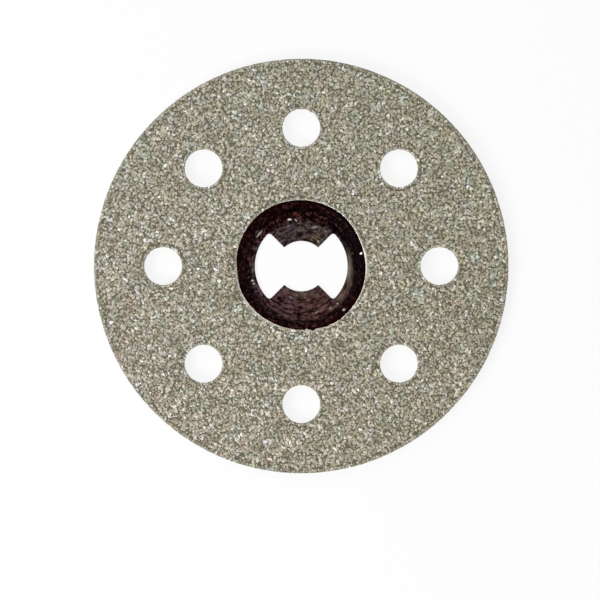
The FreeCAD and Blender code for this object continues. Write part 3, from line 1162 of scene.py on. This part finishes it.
@dataclass
class GritBeds:
    """Where the crystals stand on each surface of the coat."""

    sizes: WheelSizes
    edges: dict[Side, MaskEdge]
    spacing: float = 0.262
    jitter: float = 0.38
    inset: float = 0.13
    rim_round: float = 0.12
    rim_gap: float = 0.35
    rim_lean: float = 45.0
    rim_rows: tuple[float, ...] = (-0.9, 0.0, 0.9)
    hole_rows: int = 2
    row_room: float = 0.68
    row_jitter: float = 0.25
    row_scatter: float = 0.035
    wall_jitter: float = 0.3
    wall_scatter: float = 0.04

    def face(self, side: Side, seed: int) -> Bed:
        """The beds of one face: rows along its edges, and a loosened comb between them.

        Args:
            side: The face.
            seed: The seed of its layout.

        Returns:
            The bed.
        """
        rng = np.random.default_rng(seed)
        rows = [self._row(np.zeros(2), lambda t: np.full(len(t), self._outer_row()), rng)]
        rows.append(self._row(np.zeros(2), lambda t: self._inner_row(side, t), rng))
        hole_row = self.sizes.hole_radius + self.inset
        for centre in self.sizes.hole_centres():
            rows.append(self._row(centre, lambda t: np.full(len(t), hole_row), rng))
        comb = self._comb(rng)
        turn = np.degrees(np.arctan2(comb[:, 1], comb[:, 0]))
        radius = np.hypot(comb[:, 0], comb[:, 1])
        room = self.row_room * self.spacing
        keep = (radius < self._outer_row() - room) & (radius > self._inner_row(side, turn) + room)
        for centre in self.sizes.hole_centres():
            keep &= np.hypot(*(comb - centre).T) > hole_row + room
        spots = np.concatenate([*rows, comb[keep]])
        count = len(spots)
        place = np.column_stack([spots, np.full(count, self.sizes.face(side))])
        out = np.tile([0.0, 0.0, float(side.value)], (count, 1))
        return Bed(place, out, np.tile([1.0, 0.0, 0.0], (count, 1)))

    def rim(self, seed: int) -> Bed:
        """The beds round the rim and its two rounded corners.

        Args:
            seed: The seed of its layout.

        Returns:
            The bed.
        """
        rng = np.random.default_rng(seed)
        middle = (self.sizes.coat_top + self.sizes.coat_bottom) / 2.0
        straight = (self.sizes.coat_top - self.sizes.coat_bottom) / 2.0 - self.rim_round
        rows = [(self.rim_lean * way, way) for way in (-1.0, 1.0)]
        rows += [(0.0, share) for share in self.rim_rows]
        beds = [self._leaning_row(lean, middle + share * straight, rng) for lean, share in rows]
        return Bed.joined(beds)

    def holes(self, seed: int) -> Bed:
        """The beds on the walls of the sight holes.

        Args:
            seed: The seed of their layout.

        Returns:
            The bed.
        """
        rng = np.random.default_rng(seed)
        around = round(TAU * self.sizes.hole_radius / self.spacing)
        levels = np.linspace(self.sizes.coat_bottom, self.sizes.coat_top, self.hole_rows + 2)
        beds = []
        for centre in self.sizes.hole_centres():
            for level in levels[1:-1]:
                way, along = self._ways(around, rng)
                height = level + rng.uniform(-self.wall_scatter, self.wall_scatter, around)
                place = way * self.sizes.hole_radius
                place += np.column_stack([np.tile(centre, (around, 1)), height])
                beds.append(Bed(place, -way, along))
        return Bed.joined(beds)

    def _ways(self, count: int, rng: np.random.Generator) -> tuple[np.ndarray, np.ndarray]:
        """Ways round an upright wall, unevenly spread.

        Args:
            count: How many there are.
            rng: The source of random numbers.

        Returns:
            The level ways out, and the ways along the wall.
        """
        jitter = rng.uniform(-self.wall_jitter, self.wall_jitter, count)
        angle = (np.arange(count) + jitter) * TAU / count
        x, y, flat = np.cos(angle), np.sin(angle), np.zeros(count)
        return np.column_stack([x, y, flat]), np.column_stack([-y, x, flat])

    def _outer_row(self) -> float:
        """The radius of the last row on a face, inside the rounded rim."""
        return self.sizes.rim_radius - self.rim_round - self.rim_gap * self.spacing

    def _inner_row(self, side: Side, turn: np.ndarray) -> np.ndarray:
        """The radius of the first row at the mask's edge."""
        return self.edges[side].grit_radius_at(turn) + self.inset

    def _row(
        self, centre: np.ndarray, radius: Callable[[np.ndarray], np.ndarray], rng: np.random.Generator
    ) -> np.ndarray:
        """Spots along an edge.

        Args:
            centre: The middle of the ring that they lie on.
            radius: The ring's radius at a turn in degrees.
            rng: The source of random numbers.

        Returns:
            The spots in the plane.
        """
        count = round(TAU * float(radius(np.zeros(1))[0]) / self.spacing)
        jitter = rng.uniform(-self.row_jitter, self.row_jitter, count)
        turn = (np.arange(count) + jitter) * 360.0 / count
        reach = radius(turn) + rng.uniform(-self.row_scatter, self.row_scatter, count)
        angle = np.radians(turn)
        return centre + reach[:, None] * np.stack([np.cos(angle), np.sin(angle)], axis=1)

    def _comb(self, rng: np.random.Generator) -> np.ndarray:
        """A honeycomb of spots over the whole disc, each moved a little at random.

        Args:
            rng: The source of random numbers.

        Returns:
            The spots in the plane.
        """
        pitch = self.spacing * math.sqrt(3.0) / 2.0
        half = math.ceil(self.sizes.rim_radius / pitch)
        row, column = np.mgrid[-half : half + 1, -half : half + 1]
        x = (column + 0.5 * (row % 2)) * self.spacing
        spots = np.stack([x.ravel(), (row * pitch).ravel()], axis=1)
        return spots + rng.uniform(-self.jitter, self.jitter, spots.shape) * self.spacing

    def _leaning_row(self, lean: float, height: float, rng: np.random.Generator) -> Bed:
        """A row round the rim.

        Args:
            lean: How far its way out leans up from level, in degrees.
            height: The height of the corner's centre.
            rng: The source of random numbers.

        Returns:
            The bed.
        """
        count = round(TAU * self.sizes.rim_radius / self.spacing)
        way, along = self._ways(count, rng)
        rise = math.radians(lean)
        out = way * math.cos(rise) + np.array([0.0, 0.0, math.sin(rise)])
        place = way * (self.sizes.rim_radius - self.rim_round) + out * self.rim_round
        place[:, 2] += height
        return Bed(place, out, along)


@dataclass(frozen=True)
class Lamp:
    """A soft square lamp, aimed at the wheel."""

    name: str
    place: tuple[float, float, float]
    width: float
    watts: float

    def hang(self) -> None:
        """Adds the lamp to the scene, out of the camera's sight."""
        light = bpy.data.lights.new(self.name, "AREA")
        light.shape = "SQUARE"
        light.size = self.width * MM
        light.energy = self.watts
        lamp = bpy.data.objects.new(self.name, light)
        bpy.context.scene.collection.objects.link(lamp)
        place = Vector(self.place) * MM
        lamp.location = place
        lamp.rotation_euler = (-place).to_track_quat("-Z", "Y").to_euler()
        lamp.visible_camera = False


@dataclass
class Studio:
    """The plain floor, the soft light and the camera above the wheel."""

    sizes: WheelSizes
    lamps: tuple[Lamp, ...]
    image_pixels: int = 600
    wheel_pixels: float = 415.0
    wheel_centre: tuple[float, float] = (301.24, 266.0)
    lens: float = 150.0
    sensor: float = 36.0
    floor_width: float = 4000.0
    floor_colour: Colour = (0.97, 0.97, 0.97, 1.0)
    floor_glow: float = 0.87
    room_light: float = 0.2

    def build(self) -> None:
        """Sets up everything that isn't the wheel."""
        self._lay_floor()
        self._light_room()
        for lamp in self.lamps:
            lamp.hang()
        self._set_camera()
        bpy.context.scene.view_settings.view_transform = "Standard"
        LOG.info("studio: %d lamps", len(self.lamps))

    def _seen_white(self, graph: Graph) -> Wire:
        """1 for the rays that are to see white, and 0 for the light that falls on things."""
        kinds = [graph.wire("ShaderNodeLightPath", output=kind.value) for kind in Ray]
        return kinds[0].most(kinds[1]).most(kinds[2])

    def _lay_floor(self) -> None:
        """Lays a white floor that still takes a soft shadow."""
        half = self.floor_width / 2.0 * MM
        mesh = bpy.data.meshes.new("floor")
        corners = [(-half, -half, 0.0), (half, -half, 0.0), (half, half, 0.0), (-half, half, 0.0)]
        mesh.from_pydata(corners, [], [(0, 1, 2, 3)])
        material = bpy.data.materials.new("white floor")
        material.use_nodes = True
        graph = Graph(material.node_tree)
        matt = graph.wire("ShaderNodeBsdfDiffuse", inputs={"Color": self.floor_colour})
        glow = graph.wire("ShaderNodeEmission", inputs={"Strength": 1.0})
        share = self._seen_white(graph) * self.floor_glow
        mixed = graph.wire("ShaderNodeMixShader", inputs={0: share, 1: matt, 2: glow})
        graph.add("ShaderNodeOutputMaterial", inputs={"Surface": mixed})
        mesh.materials.append(material)
        floor = bpy.data.objects.new("floor", mesh)
        bpy.context.scene.collection.objects.link(floor)

    def _light_room(self) -> None:
        """Fills the room with even light, and shows it as white."""
        world = bpy.data.worlds.new("white room")
        world.use_nodes = True
        graph = Graph(world.node_tree)
        strength = self.room_light + self._seen_white(graph) * (1.0 - self.room_light)
        inputs = {"Color": (1.0, 1.0, 1.0, 1.0), "Strength": strength}
        white = graph.wire("ShaderNodeBackground", inputs=inputs)
        graph.add("ShaderNodeOutputWorld", inputs={"Surface": white})
        bpy.context.scene.world = world

    def _set_camera(self) -> None:
        """Looks straight down, with the wheel as large and as placed as in the photograph."""
        to_pixel = 2.0 * self.sizes.rim_radius / self.wheel_pixels
        across = self.image_pixels * to_pixel
        middle = self.image_pixels / 2.0
        camera = bpy.data.cameras.new("camera")
        camera.lens = self.lens
        camera.sensor_width = self.sensor
        camera.clip_start = 10.0 * MM
        camera.clip_end = 2.0 * self.floor_width * MM
        mount = bpy.data.objects.new("camera", camera)
        bpy.context.scene.collection.objects.link(mount)
        x = (middle - self.wheel_centre[0]) * to_pixel
        y = (self.wheel_centre[1] - middle) * to_pixel
        height = self.sizes.coat_top + across * self.lens / self.sensor
        mount.location = Vector((x, y, height)) * MM
        bpy.context.scene.camera = mount


MARKS = (
    Mark(x=-1.08, y=4.30, half_length=0.26, half_width=0.12, turn=5.0, strength=1.0),
    Mark(x=-0.50, y=4.23, half_length=0.24, half_width=0.08, turn=-45.0, strength=0.45),
    Mark(x=1.20, y=3.58, half_length=0.40, half_width=0.16, turn=8.0, strength=0.22),
    Mark(x=1.58, y=2.28, half_length=0.22, half_width=0.12, turn=-40.0, strength=0.32),
    Mark(x=2.28, y=3.22, half_length=0.26, half_width=0.10, turn=-20.0, strength=0.18),
    # These two lay a light streak along the lower bend at the upper left.
    Mark(x=-3.88, y=2.95, half_length=0.56, half_width=0.10, turn=52.0, strength=0.50),
    Mark(x=-4.05, y=3.15, half_length=0.24, half_width=0.16, turn=30.0, strength=0.12),
    Mark(x=5.50, y=1.16, half_length=0.15, half_width=0.13, turn=0.0, strength=1.0),
    Mark(x=-4.50, y=-1.33, half_length=0.13, half_width=0.12, turn=0.0, strength=0.8),
    Mark(x=-4.38, y=-1.62, half_length=0.15, half_width=0.13, turn=0.0, strength=0.45),
    Mark(x=3.92, y=-4.02, half_length=0.17, half_width=0.14, turn=0.0, strength=0.32),
    Mark(x=3.32, y=-3.45, half_length=0.17, half_width=0.12, turn=20.0, strength=0.3),
    Mark(x=2.68, y=-3.88, half_length=0.24, half_width=0.16, turn=25.0, strength=0.2),
    Stain(x=3.70, y=-2.75, half_length=1.0, half_width=0.55, turn=55.0, strength=0.10),
    # Painted highlight: this long pale band lies on the bore's rolled edge at the right of the floor.
    Stain(x=4.38, y=-0.30, half_length=2.4, half_width=0.50, turn=90.0, strength=0.22),
    Stain(x=0.10, y=-2.60, half_length=1.8, half_width=0.60, turn=0.0, strength=0.07),
    Mark(x=1.42, y=-4.27, half_length=0.26, half_width=0.06, turn=48.0, strength=0.35),
    Mark(x=-0.93, y=-2.90, half_length=0.30, half_width=0.10, turn=-35.0, strength=0.2),
)

LAMPS = (
    Lamp("key lamp", place=(-150.0, -140.0, 190.0), width=150.0, watts=0.64),
    Lamp("fill lamp", place=(-150.0, 190.0, 260.0), width=200.0, watts=0.43),
)


FRONT_EDGE = MaskEdge(
    radius=5.965,
    seed=5,
    sways=(
        Sway(lobes=1, reach=0.079, turn=111.5),
        Sway(lobes=2, reach=0.076, turn=126.5),
        Sway(lobes=3, reach=0.034, turn=75.2),
        Sway(lobes=4, reach=0.03, turn=46.2),
    ),
    notches=(
        Arc(turn=281.0, half_angle=3.4, reach=0.13),
        Arc(turn=275.0, half_angle=1.6, reach=-0.12),
        Arc(turn=356.0, half_angle=32.0, reach=0.055),
        Arc(turn=54.0, half_angle=16.0, reach=0.045),
        Arc(turn=204.0, half_angle=20.0, reach=0.05),
        Arc(turn=186.0, half_angle=14.0, reach=-0.06),
        Arc(turn=298.0, half_angle=14.0, reach=0.05),
    ),
    ragged_arcs=(Arc(turn=302.0, half_angle=32.0, reach=0.02),),
    bare_arcs=(
        Arc(turn=7.0, half_angle=25.0, reach=0.11),
        Arc(turn=225.0, half_angle=46.0, reach=0.10),
    ),
)

# Nothing shows how the mask lay on the back, so the edge there is nearly round.
BACK_EDGE = MaskEdge(
    radius=FRONT_EDGE.radius,
    seed=6,
    sways=(Sway(lobes=1, reach=0.03, turn=40.0), Sway(lobes=2, reach=0.02, turn=15.0)),
    ragged=0.012,
    bare_width=0.02,
)


def main() -> None:
    """Builds the wheel's looks in order."""
    logging.basicConfig(level=logging.INFO, format="%(message)s")
    sizes = WheelSizes.from_frame()
    edges = {Side.FRONT: FRONT_EDGE, Side.BACK: BACK_EDGE}
    PressedBlank(BurnishedSteel("burnished steel", {"Metallic": 1.0}, marks=MARKS)).dress()
    # Painted shade: the nickel between the crystals is a darker copy of the bare nickel.
    shaded_bond_finish = PlatedNickel("shaded nickel between crystals", {"Metallic": 0.3})
    bare_finish = PlatedNickel(
        "bare nickel",
        {"Metallic": 0.9},
        dull=(0.46, 0.425, 0.375, 1.0),
        bright=(0.66, 0.625, 0.57, 1.0),
        grain=5.0,
    )
    NickelBond(sizes, edges, shaded_bond_finish, bare_finish).build()
    grit = DiamondGrit("diamond crystals", {"Metallic": 0.1, "IOR": 2.0})
    beds = GritBeds(sizes, edges)
    faces = {side: CoatOutline(sizes, edges[side]) for side in Side}
    walls = CoatOutline(sizes)
    layers = (
        CrystalLayer("front_grit", grit, beds.face(Side.FRONT, seed=21), 31, faces[Side.FRONT]),
        CrystalLayer("back_grit", grit, beds.face(Side.BACK, seed=22), 32, faces[Side.BACK]),
        CrystalLayer("rim_grit", grit, beds.rim(seed=23), 33, walls),
        CrystalLayer("hole_grit", grit, beds.holes(seed=24), 34, walls),
    )
    for layer in layers:
        layer.build()
    Studio(sizes, LAMPS).build()


if __name__ == "__main__":
    main()
